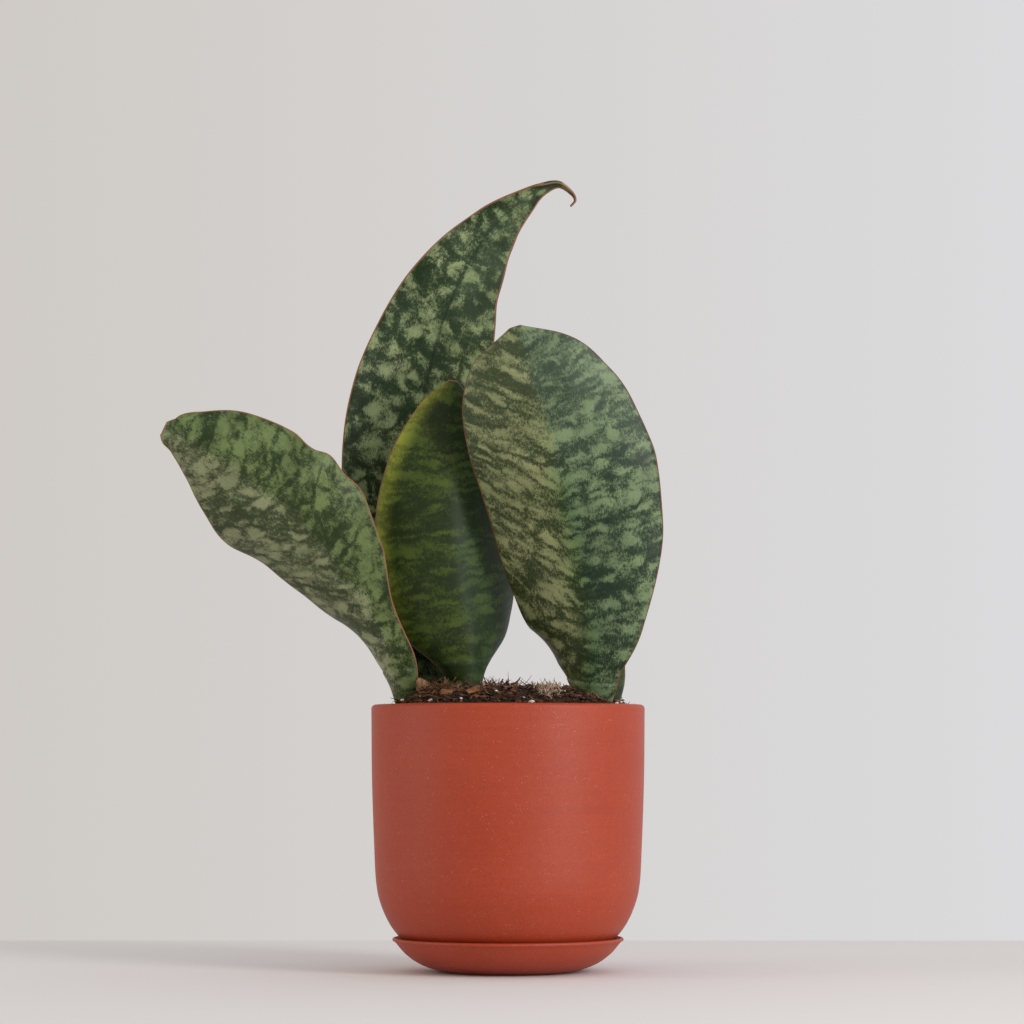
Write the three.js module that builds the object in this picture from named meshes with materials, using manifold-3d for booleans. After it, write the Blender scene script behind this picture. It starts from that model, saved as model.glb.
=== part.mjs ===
// A broad-leaved snake plant in a plain clay pot on its saucer.
// Millimetres. +Z is up, +Y points to the back, and the origin is the middle of the saucer's foot.

import * as THREE from 'three';
import { mergeVertices } from 'three/addons/utils/BufferGeometryUtils.js';
import Module from 'manifold-3d';

const wasm = await Module();
wasm.setup();

// ---------------------------------------------------------------- driving sizes

const GAP = 0.3;              // clearance left between two pieces that touch
const ROUND_STEPS = 40;       // facets around the pot and the saucer

// Profiles are given as pairs of radius and height.

const SAUCER = {
  footRadius: 37,
  floorRadius: 44,
  floorTop: 5,
  bow: [[45, 1.6], [54, 5.2], [62, 11], [68, 17.7]],
  lip: [[69.4, 18.6], [69.5, 19.8], [68.6, 20.4], [67.2, 20.4]],
  inside: [[66.2, 19.6], [63.5, 17], [59, 12.8], [53, 8.6]],
};

const POT = {
  rimTop: 160,
  rimRadius: 82.5,
  rimRounding: 3,
  innerRounding: 1.5,
  wall: 6.5,
  footRadius: 40,
  floorRadius: 42,
  floorThickness: 7,
  drainRadius: 7,
  outside: [[50, 8.9], [61, 16.8], [70, 26.7], [76.2, 39.5], [79.3, 53], [80.6, 76], [82, 115]],
  inside: [[75.5, 115], [74, 76], [72.6, 55], [69, 41], [62, 28], [53, 18.5]],
};

const SOIL = {
  edgeHeight: 153,
  crown: 16.5,
  steepness: 5,
  unevenness: 0.8,
  dip: { x: 46, y: -8, depth: 5, spread: 250 },
  footRadius: 38,
  side: [[41, 13.1], [52, 19], [61, 28.6], [68, 41.5], [71.8, 56], [73.4, 77], [74.8, 115]],
  edge: [75.4, 150],
  rings: [74.5, 68, 59, 46, 31, 15],
  steps: 32,
};

const LEAF = { middle: 3, margin: 0.9, acrossSteps: 8, alongSteps: 18 };
const SHEATH = { middle: 0.8, margin: 0.8, acrossSteps: 4, alongSteps: 6 };

const RHIZOME = {
  radius: 11,
  endRadius: 10,
  height: 119,
  route: [[-63, -8], [-50, 10], [-36, 16], [-20, 6], [4, -4], [28, -10], [50, -8], [61, 6], [60, 18]],
};

// A root's route is how far out and how far up each point lies from the root's start.

const ROOT = {
  count: 6,
  thickRadius: 2.2,
  thinRadius: 1.1,
  route: [[0, 0], [10, -20], [14, -48], [4, -74], [-6, -96]],
};

const FINISH = {
  clay: { color: 0xa6503f, roughness: 0.7 },
  saucerClay: { color: 0x984432, roughness: 0.75 },
  soil: { color: 0x3a2519, roughness: 0.95 },
  rhizome: { color: 0xc9a56b, roughness: 0.6 },
  root: { color: 0xcdb58a, roughness: 0.7 },
  sheath: { color: 0xb08d63, roughness: 0.8 },
  bark: { color: 0x7c4527, roughness: 0.85 },
  tallLeaf: { color: 0x56683a, roughness: 0.45 },
  leftLeaf: { color: 0x5a6343, roughness: 0.45 },
  middleLeaf: { color: 0x3f4d2b, roughness: 0.45 },
  rightLeaf: { color: 0x5c6a4e, roughness: 0.45 },
  youngLeaf: { color: 0x465432, roughness: 0.45 },
};

// A leaf is given by stations from its foot to its tip. Each one holds the midrib's x, y and z,
// the half-widths on the left and the right of the midrib, measured along the curved section,
// the roll of the blade about its midrib, and how far each half curls towards the upper face.
// At no roll the underside looks to the front. The angles are in degrees.

const LEAVES = {
  tall_back_leaf: {
    finish: FINISH.tallLeaf,
    stations: [
      [-44, 24, 124, 14, 14, 180, 105],
      [-44, 30, 167, 16, 16, 180, 105],
      [-46, 34, 194, 27, 26, 180, 74],
      [-52, 38, 231, 46, 40, 180, 48],
      [-55, 42, 281, 55, 49, 180, 36],
      [-54, 44, 337, 52, 48, 180, 31],
      [-44, 44, 387, 40, 40, 180, 29],
      [-28, 42, 428, 26, 28, 181, 32],
      [-9, 40, 458, 19, 15, 185, 45],
      [10, 38, 475, 12, 8, 198, 75],
      [22, 37, 482, 6, 6, 212, 105],
      [32, 36, 484, 3.5, 3.5, 225, 115],
      [40, 35, 478, 2, 2, 235, 115],
      [42, 34, 473, 1.2, 1.2, 240, 115],
      [39, 33, 469, 0.8, 0.8, 240, 115],
    ],
  },
  left_leaf: {
    finish: FINISH.leftLeaf,
    stations: [
      [-56, -2, 124, 12, 12, -26, 105],
      [-63, -9, 162, 18, 10.5, -28, 98],
      [-69, -15, 184, 22, 14.5, -28, 62],
      [-82, -26, 215, 36.5, 15, -24, 42],
      [-108, -38, 250, 40.5, 37, -20, 42],
      [-140, -50, 281, 49, 41, -18, 38],
      [-169, -58, 303, 31, 33.5, -16, 34],
      [-190, -62, 316, 14.5, 18, -14, 30],
      [-201, -64, 320.5, 9, 7, -12, 30],
      [-205, -65, 322, 3, 1.5, -12, 30],
    ],
  },
  middle_leaf: {
    finish: FINISH.middleLeaf,
    stations: [
      [-23, 2, 124, 13, 13, 22, 105],
      [-22.5, -2, 166, 13, 16.5, 22, 98],
      [-22.5, -3, 180, 20, 16.5, 22, 74],
      [-24, -6, 204, 40.5, 42, 20, 58],
      [-30, -10, 241, 49.5, 52.5, 19, 54],
      [-33, -12, 277, 49, 49, 17, 50],
      [-35, -12, 311, 38, 39, 14, 44],
      [-35, -10, 338, 21, 24, 12, 38],
      [-33, -8, 356, 3, 3, 12, 36],
    ],
  },
  right_leaf: {
    finish: FINISH.rightLeaf,
    stations: [
      [48.5, -12, 124, 14.5, 13.5, -22, 102],
      [47.5, -20, 160, 19, 18, -22, 92],
      [48, -24, 179, 33, 20, -22, 54],
      [48, -30, 204, 46, 33.5, -20, 36],
      [42, -36, 240, 51, 51, -16, 34],
      [33, -42, 281, 51, 60, -12, 31],
      [24, -46, 319, 52, 57, -8, 27],
      [15, -47, 350, 47, 45, -6, 24],
      [8, -47, 371, 33, 28, -6, 22],
      [4, -46, 384, 3.5, 3.5, -6, 22],
    ],
  },
  young_leaf: {
    finish: FINISH.youngLeaf,
    stations: [
      [60, 12, 124, 9, 9, 14, 105],
      [61, 8, 152, 10, 10, 12, 100],
      [62, 6, 172, 13, 13, 10, 70],
      [61, 4, 190, 11, 11, 8, 50],
      [59, 3, 204, 6, 6, 8, 40],
      [58, 3, 212, 1.5, 1.5, 8, 40],
    ],
  },
};

// Dry papery scales around the feet of the leaves, given as leaves are.

const SHEATHS = {
  left_dry_sheath: [
    [-48, -15, 148, 6, 6, 10, 60],
    [-46, -16, 160, 8, 7, 10, 60],
    [-48, -17, 168, 7, 5, 5, 50],
    [-54, -18, 175, 1.5, 1.5, 0, 40],
  ],
  back_dry_sheath: [
    [-29, 19, 148, 4, 4, 120, 60],
    [-29, 19, 163, 4, 4, 120, 60],
    [-29, 18, 171, 3, 3, 120, 60],
    [-29, 16, 178, 1, 1, 120, 60],
  ],
  right_dry_sheath: [
    [33, -24, 148, 6, 6, -20, 60],
    [33, -26, 158, 7, 7, -20, 60],
    [34, -27, 166, 5, 5, -10, 50],
    [36, -28, 171, 1.5, 1.5, 0, 40],
  ],
};

// Coarse bark on the soil: where each piece lies, its length, width and thickness, and its turn.

const BARK = [
  { x: -20, y: -52, size: [9, 6, 3], turn: 20, lean: 50 },
  { x: -36, y: -45, size: [8, 5, 3], turn: -35, lean: 40 },
  { x: 20, y: -46, size: [12, 7, 4], turn: 70, lean: 25 },
  { x: 2, y: -30, size: [10, 6, 3], turn: 10, lean: 15 },
  { x: 6, y: 44, size: [13, 8, 4], turn: -50, lean: 12 },
  { x: -20, y: 52, size: [11, 7, 3], turn: 35, lean: 20 },
  { x: 34, y: 36, size: [12, 8, 4], turn: 80, lean: 18 },
  { x: -62, y: 34, size: [10, 6, 3], turn: -15, lean: 25 },
];

// ---------------------------------------------------------------- solids and meshes

/** Keeps only positions and joins equal corners, so that the surface is closed. */
function closed(geometry) {
  geometry.deleteAttribute('normal');
  geometry.deleteAttribute('uv');
  return mergeVertices(geometry, 1e-4);
}

/** Makes a manifold solid from a closed geometry. */
function toSolid(geometry) {
  const merged = closed(geometry);
  return new wasm.Manifold(new wasm.Mesh({
    numProp: 3,
    vertProperties: Float32Array.from(merged.attributes.position.array),
    triVerts: Uint32Array.from(merged.index.array),
  }));
}

/** Makes a geometry from a manifold solid. */
function toGeometry(solid) {
  const mesh = solid.getMesh();
  const geometry = new THREE.BufferGeometry();
  geometry.setAttribute('position', new THREE.BufferAttribute(Float32Array.from(mesh.vertProperties), 3));
  geometry.setIndex(new THREE.BufferAttribute(Uint32Array.from(mesh.triVerts), 1));
  return geometry;
}

/** Cuts every tool out of a geometry. */
function cut(geometry, tools) {
  let solid = toSolid(geometry);
  for (const tool of tools) {
    solid = solid.subtract(toSolid(tool));
  }
  return toGeometry(solid);
}

/** Makes a named mesh with flat shading from any geometry. */
function piece(name, geometry, finish) {
  const flat = geometry.index ? geometry.toNonIndexed() : geometry;
  flat.computeVertexNormals();
  const mesh = new THREE.Mesh(flat, new THREE.MeshStandardMaterial({ ...finish, metalness: 0 }));
  mesh.name = name;
  return mesh;
}

/** Spins a profile of (radius, height) points about the Z axis. */
function spun(profile, steps = ROUND_STEPS) {
  const geometry = new THREE.LatheGeometry(profile, steps);
  geometry.rotateX(Math.PI / 2);
  return geometry;
}

const at = (radius, height) => new THREE.Vector2(radius, height);

const points = (pairs) => pairs.map(([radius, height]) => at(radius, height));

/** Points on a smooth curve through the given pairs of radius and height. */
const smooth = (pairs, steps) => new THREE.SplineCurve(points(pairs)).getPoints(steps);

/** Points on an arc about (radius, height), from one angle to another in degrees. */
function arc(centre, radius, from, to, steps) {
  const bend = [];
  for (let i = 0; i <= steps; i += 1) {
    const angle = THREE.MathUtils.degToRad(from + (to - from) * i / steps);
    bend.push(at(centre.x + radius * Math.cos(angle), centre.y + radius * Math.sin(angle)));
  }
  return bend;
}

// ---------------------------------------------------------------- saucer and pot

const POT_FOOT = SAUCER.floorTop + GAP;
const POT_FLOOR = POT_FOOT + POT.floorThickness;
const POT_INNER = POT.rimRadius - POT.wall;

/** The saucer: a flat foot, a bowed underside, a rounded lip and a flat floor. */
function saucerGeometry() {
  return spun([
    at(0, 0),
    ...smooth([[SAUCER.footRadius, 0], ...SAUCER.bow], 6),
    ...points(SAUCER.lip),
    ...smooth([...SAUCER.inside, [SAUCER.floorRadius, SAUCER.floorTop]], 5),
    at(0, SAUCER.floorTop),
  ]);
}

/** The pot: rounded below, nearly straight above, with a soft rim and one drain hole. */
function potGeometry() {
  const rimMiddle = at(POT.rimRadius - POT.rimRounding, POT.rimTop - POT.rimRounding);
  const innerTop = POT.rimTop - POT.innerRounding;
  return spun([
    at(POT.drainRadius, POT_FLOOR),
    at(POT.drainRadius, POT_FOOT),
    ...smooth([[POT.footRadius, POT_FOOT], ...POT.outside, [POT.rimRadius, rimMiddle.y]], 12),
    ...arc(rimMiddle, POT.rimRounding, 30, 90, 2),
    at(POT_INNER + POT.innerRounding, POT.rimTop),
    ...smooth([[POT_INNER, innerTop], ...POT.inside, [POT.floorRadius, POT_FLOOR]], 7),
    at(POT.drainRadius, POT_FLOOR),
  ]);
}

// ---------------------------------------------------------------- leaves

/** Catmull-Rom value of one column of a station table at a place from 0 to 1. */
function stationValue(stations, column, place) {
  const last = stations.length - 1;
  const index = Math.min(Math.floor(place * last), last - 1);
  const t = place * last - index;
  const b = stations[index][column];
  const c = stations[index + 1][column];
  const a = index > 0 ? stations[index - 1][column] : 2 * b - c;
  const d = index + 2 <= last ? stations[index + 2][column] : 2 * c - b;
  const slopeB = (c - a) / 2;
  const slopeC = (d - b) / 2;
  return (2 * b - 2 * c + slopeB + slopeC) * t ** 3
    + (3 * c - 3 * b - 2 * slopeB - slopeC) * t ** 2 + slopeB * t + b;
}

function midrib(stations, place) {
  return new THREE.Vector3(...[0, 1, 2].map((column) => stationValue(stations, column, place)));
}

/** The section of a leaf at a place along it: its midrib, directions, radius and widths. */
function leafSection(stations, place) {
  const step = 1e-4;
  const before = midrib(stations, Math.max(place - step, 0));
  const along = midrib(stations, Math.min(place + step, 1)).sub(before).normalize();
  const back = new THREE.Vector3(0, 1, 0);
  back.addScaledVector(along, -back.dot(along)).normalize();
  const side = new THREE.Vector3().crossVectors(back, along);
  const left = Math.max(stationValue(stations, 3, place), 0.6);
  const right = Math.max(stationValue(stations, 4, place), 0.6);
  const roll = THREE.MathUtils.degToRad(stationValue(stations, 5, place));
  const curl = THREE.MathUtils.degToRad(stationValue(stations, 6, place));
  return {
    middle: midrib(stations, place),
    across: side.clone().multiplyScalar(Math.cos(roll)).addScaledVector(back, Math.sin(roll)),
    upper: back.clone().multiplyScalar(Math.cos(roll)).addScaledVector(side, -Math.sin(roll)),
    radius: (left + right) / 2 / curl,
    left,
    right,
  };
}

/**
 * A closed leaf: a flat box whose x runs across the blade, y along it and z through it,
 * bent over the leaf's sections. grow makes it thicker all over, for the hole that it stands in.
 */
function leafBlade(stations, blade = LEAF, grow = 0) {
  const geometry = new THREE.BoxGeometry(2, 1, 2, blade.acrossSteps, blade.alongSteps, 1);
  const position = geometry.attributes.position;
  for (let i = 0; i < position.count; i += 1) {
    const u = position.getX(i);
    const face = Math.sign(position.getZ(i));
    const section = leafSection(stations, position.getY(i) + 0.5);
    const width = (u < 0 ? section.left : section.right) + grow;
    const angle = u * width / section.radius;
    const bulk = Math.min(blade.middle, 0.5 * width);
    const half = Math.max(blade.margin, bulk * Math.sqrt(Math.max(1 - u * u, 0))) / 2 + grow;
    const outward = section.upper.clone().multiplyScalar(-Math.cos(angle))
      .addScaledVector(section.across, Math.sin(angle));
    const point = section.middle.clone()
      .addScaledVector(section.across, section.radius * Math.sin(angle))
      .addScaledVector(section.upper, section.radius * (1 - Math.cos(angle)))
      .addScaledVector(outward, face * half);
    position.setXYZ(i, point.x, point.y, point.z);
  }
  return geometry;
}

// ---------------------------------------------------------------- rhizome and roots

/** Bends a capsule along a curve, with a radius that changes from start to end. */
function bentCapsule(curve, startRadius, endRadius, around, along) {
  const length = curve.getLength();
  const geometry = new THREE.CapsuleGeometry(1, length, 2, around, along);
  const position = geometry.attributes.position;
  const frames = curve.computeFrenetFrames(along, false);
  for (let i = 0; i < position.count; i += 1) {
    const y = position.getY(i);
    const inside = THREE.MathUtils.clamp(y, -length / 2, length / 2);
    const place = inside / length + 0.5;
    const radius = startRadius + (endRadius - startRadius) * place;
    const k = Math.round(place * along);
    const point = curve.getPointAt(place)
      .addScaledVector(frames.tangents[k], (y - inside) * radius)
      .addScaledVector(frames.normals[k], position.getZ(i) * radius)
      .addScaledVector(frames.binormals[k], position.getX(i) * radius);
    position.setXYZ(i, point.x, point.y, point.z);
  }
  return geometry;
}

const RHIZOME_CURVE = new THREE.CatmullRomCurve3(
  RHIZOME.route.map(([x, y]) => new THREE.Vector3(x, y, RHIZOME.height)),
);

const rhizomeTube = (grow = 0) => bentCapsule(
  RHIZOME_CURVE, RHIZOME.radius + grow, RHIZOME.endRadius + grow, 10, 14,
);

/** One root, from inside the rhizome out and down towards the pot's floor. */
function rootCurve(index) {
  const share = (index + 0.5) / ROOT.count;
  const start = RHIZOME_CURVE.getPointAt(0.08 + 0.84 * share);
  const turn = 2 * Math.PI * (share + 0.55);
  const lean = new THREE.Vector3(Math.cos(turn), Math.sin(turn), 0);
  return new THREE.CatmullRomCurve3(ROOT.route.map(([out, up]) => (
    new THREE.Vector3(start.x * 0.8 ** (-up / 40), start.y, start.z + up).addScaledVector(lean, out)
  )));
}

const rootTube = (index, grow = 0) => bentCapsule(
  rootCurve(index), ROOT.thickRadius + grow, ROOT.thinRadius + grow, 6, 7,
);

// ---------------------------------------------------------------- soil and bark

/** Height of the mounded soil, which dips beside the right leaf. */
function soilHeight(x, y) {
  const fromMiddle = Math.min(Math.hypot(x, y) / POT_INNER, 1);
  const dome = SOIL.edgeHeight + SOIL.crown * (1 - fromMiddle ** SOIL.steepness);
  const { dip } = SOIL;
  const hollow = dip.depth * Math.exp(-((x - dip.x) ** 2 + (y - dip.y) ** 2) / dip.spread);
  return dome - hollow + SOIL.unevenness * Math.sin(x / 7) * Math.cos(y / 6 + 1);
}

/** The soil that fills the pot, before anything is cut out of it. */
function soilFill() {
  const geometry = spun([
    at(0, POT_FLOOR + GAP),
    at(SOIL.footRadius, POT_FLOOR + GAP),
    ...smooth(SOIL.side, 5),
    at(...SOIL.edge),
    ...SOIL.rings.map((radius) => at(radius, SOIL.edgeHeight)),
    at(0, SOIL.edgeHeight),
  ], SOIL.steps);
  const position = geometry.attributes.position;
  for (let i = 0; i < position.count; i += 1) {
    if (position.getZ(i) >= SOIL.edgeHeight - 1e-3) {
      position.setZ(i, soilHeight(position.getX(i), position.getY(i)));
    }
  }
  return geometry;
}

/** A chip of bark: a skewed slab with its edges knocked off, pressed into the soil. */
function barkChip({ x, y, size, turn, lean }, grow = 0) {
  const [length, width, thickness] = size.map((side) => side + 2 * grow);
  const geometry = new THREE.BoxGeometry(length, width, thickness, 2, 1, 1);
  const position = geometry.attributes.position;
  for (let i = 0; i < position.count; i += 1) {
    const end = position.getX(i) / size[0];
    position.setY(i, position.getY(i) * (1 - 0.9 * Math.abs(end)) + 1.2 * end);
    position.setZ(i, position.getZ(i) * (1.1 - 0.8 * end * end));
  }
  geometry.rotateX(THREE.MathUtils.degToRad(lean));
  geometry.rotateZ(THREE.MathUtils.degToRad(turn));
  geometry.translate(x, y, soilHeight(x, y) + 0.25 * size[1] * Math.sin(THREE.MathUtils.degToRad(lean)));
  return geometry;
}

// ---------------------------------------------------------------- assembly

const group = new THREE.Group();

group.add(piece('saucer', closed(saucerGeometry()), FINISH.saucerClay));
group.add(piece('pot', closed(potGeometry()), FINISH.clay));

const plant = new THREE.Group();
group.add(plant);

const leafHoles = Object.values(LEAVES).map((leaf) => leafBlade(leaf.stations, LEAF, GAP));
for (const [name, leaf] of Object.entries(LEAVES)) {
  plant.add(piece(name, closed(leafBlade(leaf.stations)), leaf.finish));
}

plant.add(piece('rhizome', cut(rhizomeTube(), leafHoles), FINISH.rhizome));

const rootNumbers = Array.from({ length: ROOT.count }, (unused, index) => index);
for (const index of rootNumbers) {
  const root = cut(rootTube(index), [rhizomeTube(GAP), ...leafHoles]);
  plant.add(piece(`root_${index + 1}`, root, FINISH.root));
}

for (const [name, stations] of Object.entries(SHEATHS)) {
  plant.add(piece(name, closed(leafBlade(stations, SHEATH)), FINISH.sheath));
}

const bed = new THREE.Group();
group.add(bed);

bed.add(piece('soil', cut(soilFill(), [
  ...leafHoles,
  ...Object.values(SHEATHS).map((stations) => leafBlade(stations, SHEATH, GAP)),
  rhizomeTube(GAP),
  ...rootNumbers.map((index) => rootTube(index, GAP)),
  ...BARK.map((chip) => barkChip(chip, GAP)),
]), FINISH.soil));

for (const [index, chip] of BARK.entries()) {
  bed.add(piece(`bark_chip_${index + 1}`, closed(barkChip(chip)), FINISH.bark));
}

export default group;
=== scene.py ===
"""A broad-leaved snake plant: mottled leaves in dark potting mix, in a matte clay pot on its saucer.

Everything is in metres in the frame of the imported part: +Z is up and +Y points to the back.
"""

from __future__ import annotations

import logging
import math
import random
from collections.abc import Callable, Sequence
from dataclasses import dataclass, field
from enum import Enum
from typing import ClassVar

import bmesh
import bpy
from mathutils import Euler, Matrix, Vector, noise

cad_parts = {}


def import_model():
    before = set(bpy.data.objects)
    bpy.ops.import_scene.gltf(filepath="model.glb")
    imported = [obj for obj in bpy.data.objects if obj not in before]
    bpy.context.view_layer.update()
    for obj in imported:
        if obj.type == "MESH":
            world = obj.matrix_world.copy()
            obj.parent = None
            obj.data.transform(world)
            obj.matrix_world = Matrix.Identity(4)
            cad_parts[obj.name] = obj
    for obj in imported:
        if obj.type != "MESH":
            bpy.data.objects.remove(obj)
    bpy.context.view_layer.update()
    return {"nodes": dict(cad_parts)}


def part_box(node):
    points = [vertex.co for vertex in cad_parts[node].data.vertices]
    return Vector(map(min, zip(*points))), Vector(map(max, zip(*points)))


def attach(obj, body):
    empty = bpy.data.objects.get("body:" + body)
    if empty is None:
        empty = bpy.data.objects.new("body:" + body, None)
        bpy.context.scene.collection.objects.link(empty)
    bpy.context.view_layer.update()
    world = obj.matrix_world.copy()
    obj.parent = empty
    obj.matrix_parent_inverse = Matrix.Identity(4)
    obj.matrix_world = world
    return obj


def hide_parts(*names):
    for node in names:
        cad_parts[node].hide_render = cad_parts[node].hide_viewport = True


log = logging.getLogger("snake_plant")

MM = 0.001
BODY = "root"
BARK_CHIPS = 8
Colour = tuple[float, float, float]
Point = tuple[float, float, float]


# ------------------------------------------------------------------ shader maths


class Wire:
    """A number on its way through a material, with Python's own arithmetic."""

    def __init__(self, graph: Graph, socket: bpy.types.NodeSocket) -> None:
        """Hold a socket of a graph."""
        self.graph = graph
        self.socket = socket

    def __add__(self, other: Wire | float) -> Wire:
        """Add."""
        return self.graph.maths("ADD", self, other)

    __radd__ = __add__

    def __sub__(self, other: Wire | float) -> Wire:
        """Subtract."""
        return self.graph.maths("SUBTRACT", self, other)

    def __rsub__(self, other: Wire | float) -> Wire:
        """Subtract this from a number."""
        return self.graph.maths("SUBTRACT", other, self)

    def __mul__(self, other: Wire | float) -> Wire:
        """Multiply."""
        return self.graph.maths("MULTIPLY", self, other)

    __rmul__ = __mul__

    def __truediv__(self, other: Wire | float) -> Wire:
        """Divide."""
        return self.graph.maths("DIVIDE", self, other)

    def absolute(self) -> Wire:
        """Drop the sign."""
        return self.graph.maths("ABSOLUTE", self)

    def smallest(self, other: Wire | float) -> Wire:
        """Take the smaller of two numbers."""
        return self.graph.maths("MINIMUM", self, other)

    def rise(self, low: float, high: float, kind: str = "SMOOTHSTEP") -> Wire:
        """Rise from 0 at low to 1 at high, smoothly unless the kind says otherwise."""
        values = {"Value": self, "From Min": low, "From Max": high}
        made = self.graph.node("ShaderNodeMapRange", {"interpolation_type": kind}, values)
        return Wire(self.graph, made.outputs["Result"])


class Graph:
    """The nodes of a material or of the surroundings, added one at a time."""

    def __init__(self, owner: bpy.types.Material | bpy.types.World) -> None:
        """Start with no nodes.

        Args:
            owner: The material or the surroundings.
        """
        self.owner = owner
        self.owner.use_nodes = True
        self.tree = owner.node_tree
        self.tree.nodes.clear()

    def node(self, kind: str, settings: dict | None = None, values: dict | None = None) -> bpy.types.Node:
        """Add any node.

        Args:
            kind: The node's type name.
            settings: Its own settings, which are set first.
            values: Numbers, colours or wires for its input sockets, by name or number.

        Returns:
            The new node.
        """
        made = self.tree.nodes.new(kind)
        for key, value in (settings or {}).items():
            setattr(made, key, value)
        for key, value in (values or {}).items():
            if isinstance(value, Wire):
                self.tree.links.new(value.socket, made.inputs[key])
            elif isinstance(value, tuple) and len(value) == 3 and made.inputs[key].type == "RGBA":
                made.inputs[key].default_value = (*value, 1.0)
            else:
                made.inputs[key].default_value = value
        return made

    def maths(self, operation: str, *terms: Wire | float) -> Wire:
        """Add a Math node for an operation on one or two terms."""
        made = self.node("ShaderNodeMath", {"operation": operation}, dict(enumerate(terms)))
        return Wire(self, made.outputs[0])

    def blend(self, factor: Wire | float, first: Wire | Colour, second: Wire | Colour) -> Wire:
        """Blend from a first colour to a second."""
        values = {0: factor, 6: first, 7: second}
        return Wire(self, self.node("ShaderNodeMix", {"data_type": "RGBA"}, values).outputs[2])

    def shade(self, factor: Wire | float, colour: Wire | Colour, shade: Wire | Colour) -> Wire:
        """Multiply a colour by another, as far as a factor says."""
        settings = {"data_type": "RGBA", "blend_type": "MULTIPLY"}
        return Wire(self, self.node("ShaderNodeMix", settings, {0: factor, 6: colour, 7: shade}).outputs[2])

    def stretch(self, vector: Wire, scale: Point, shift: Point = (0, 0, 0)) -> Wire:
        """Scale and move a vector."""
        values = {"Vector": vector, "Location": shift, "Scale": scale}
        return Wire(self, self.node("ShaderNodeMapping", {}, values).outputs[0])

    def grain(self, vector: Wire, scale: float, detail: float = 3.0, roughness: float = 0.55,
              distortion: float = 0.0) -> Wire:
        """Add fractal noise.

        Args:
            vector: Where it is read.
            scale: Grains in one unit of the vector.
            detail: How many finer layers are added.
            roughness: How strong each finer layer is.
            distortion: How much it swirls.

        Returns:
            The noise, which varies about 0.5.
        """
        values = {"Vector": vector, "Scale": scale, "Detail": detail, "Roughness": roughness,
                  "Distortion": distortion}
        made = self.node("ShaderNodeTexNoise", {"noise_dimensions": "3D"}, values)
        return Wire(self, made.outputs["Fac"])

    def cells(self, vector: Wire, scale: float, feature: str = "F1") -> Wire:
        """Give the distance to the middle, or another feature, of scattered cells."""
        values = {"Vector": vector, "Scale": scale}
        made = self.node("ShaderNodeTexVoronoi", {"feature": feature}, values)
        return Wire(self, made.outputs["Distance"])

    def object_place(self) -> Wire:
        """Give the point's place in the object's own coordinates."""
        return Wire(self, self.node("ShaderNodeTexCoord").outputs["Object"])

    def numbers(self, vector: Wire) -> tuple[Wire, Wire, Wire]:
        """Split a vector into its three numbers."""
        parts = self.node("ShaderNodeSeparateXYZ", {}, {"Vector": vector}).outputs
        return Wire(self, parts[0]), Wire(self, parts[1]), Wire(self, parts[2])

    def vector(self, x: Wire | float, y: Wire | float, z: Wire | float = 0.0) -> Wire:
        """Join three numbers into a vector."""
        return Wire(self, self.node("ShaderNodeCombineXYZ", {}, {"X": x, "Y": y, "Z": z}).outputs[0])

    def attribute(self, name: str) -> Wire:
        """Read a number that the mesh holds at each point."""
        return Wire(self, self.node("ShaderNodeAttribute", {"attribute_name": name}).outputs["Fac"])

    def bump(self, height: Wire, distance: float, strength: float = 1.0) -> Wire:
        """Turn a height from 0 to 1 into a normal."""
        values = {"Height": height, "Distance": distance, "Strength": strength}
        return Wire(self, self.node("ShaderNodeBump", {}, values).outputs[0])

    def finish(self, values: dict) -> bpy.types.Material:
        """Close the material with a Principled shader.

        Args:
            values: The shader's sockets by name.

        Returns:
            The finished material.
        """
        self.close(self.node("ShaderNodeBsdfPrincipled", {}, values), "ShaderNodeOutputMaterial")
        return self.owner

    def close(self, shader: bpy.types.Node, kind: str) -> None:
        """Link a shader to an output node of some kind."""
        self.tree.links.new(shader.outputs[0], self.node(kind).inputs["Surface"])


# ------------------------------------------------------------------ finishes


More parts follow.
